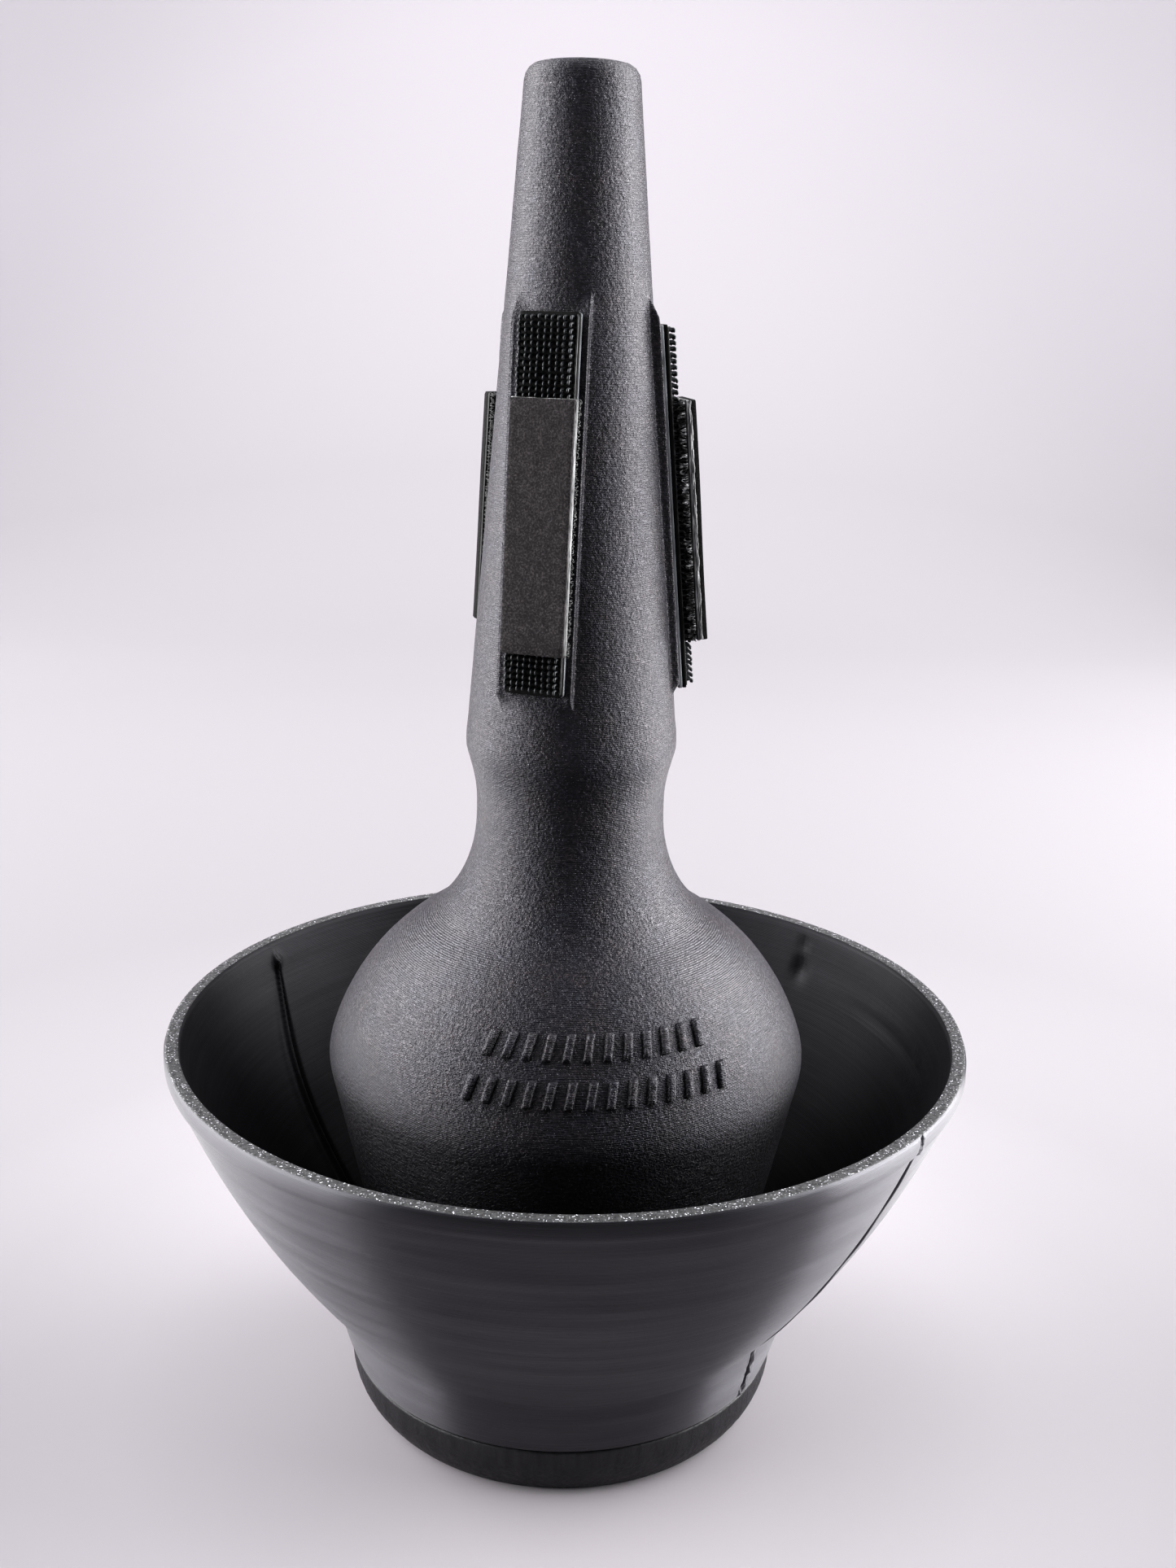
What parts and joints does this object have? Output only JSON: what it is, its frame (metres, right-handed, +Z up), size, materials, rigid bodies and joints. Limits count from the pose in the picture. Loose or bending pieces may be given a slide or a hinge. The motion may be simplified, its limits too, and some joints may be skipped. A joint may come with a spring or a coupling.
{
  "type": "cup mute",
  "caption": "Cup mute for a small brass instrument: hollow plug with a narrow open neck, standing in a removable flared cup, with foam grip pads on hook-and-loop strips.",
  "frame": {"origin": "centre of the flat base, where the mute stands", "axes": "+Z up the mute's axis towards the open neck; the strip called front faces -Y, turned 21 degrees towards -X"},
  "size_m": [0.122, 0.122, 0.1995],
  "materials": {
    "core_print": "matt printed plastic with a fuzzy skin",
    "cup_print": "satin printed plastic with fine layer lines",
    "cap_print": "matt printed plastic",
    "hook_adhesive": "glossy clear-grey glue layer",
    "hook_tape": "black moulded hooks on a film",
    "loop_tape": "black looped pile",
    "pad_adhesive": "pale grey glue layer",
    "foam_pad": "matt closed-cell foam"
  },
  "bodies": {
    "cup": {"cup_bowl": "cup_print", "base_cap": "cap_print"},
    "core": {"core_shell": "core_print", "hook_adhesive_front": "hook_adhesive", "hook_tape_front": "hook_tape", "hook_adhesive_right": "hook_adhesive", "hook_tape_right": "hook_tape", "hook_adhesive_rear": "hook_adhesive", "hook_tape_rear": "hook_tape"},
    "pad_front": {"loop_tape_front": "loop_tape", "pad_adhesive_front": "pad_adhesive", "foam_pad_front": "foam_pad"},
    "pad_right": {"loop_tape_right": "loop_tape", "pad_adhesive_right": "pad_adhesive", "foam_pad_right": "foam_pad"},
    "pad_rear": {"loop_tape_rear": "loop_tape", "pad_adhesive_rear": "pad_adhesive", "foam_pad_rear": "foam_pad"}
  },
  "joints": [
    {"name": "core_lift", "type": "slide", "parent": "cup", "child": "core", "axis": [0, 0, 1], "range_m": [0, 0.06]},
    {"name": "pad_front_shift", "type": "slide", "parent": "core", "child": "pad_front", "axis": [0.0314, 0.0818, 0.9962], "range_m": [-0.0055, 0.0109]},
    {"name": "pad_right_shift", "type": "slide", "parent": "core", "child": "pad_right", "axis": [-0.0866, -0.0137, 0.9962], "range_m": [-0.0066, 0.0098]},
    {"name": "pad_rear_shift", "type": "slide", "parent": "core", "child": "pad_rear", "axis": [0.0552, -0.0681, 0.9962], "range_m": [-0.0065, 0.0099]}
  ]
}
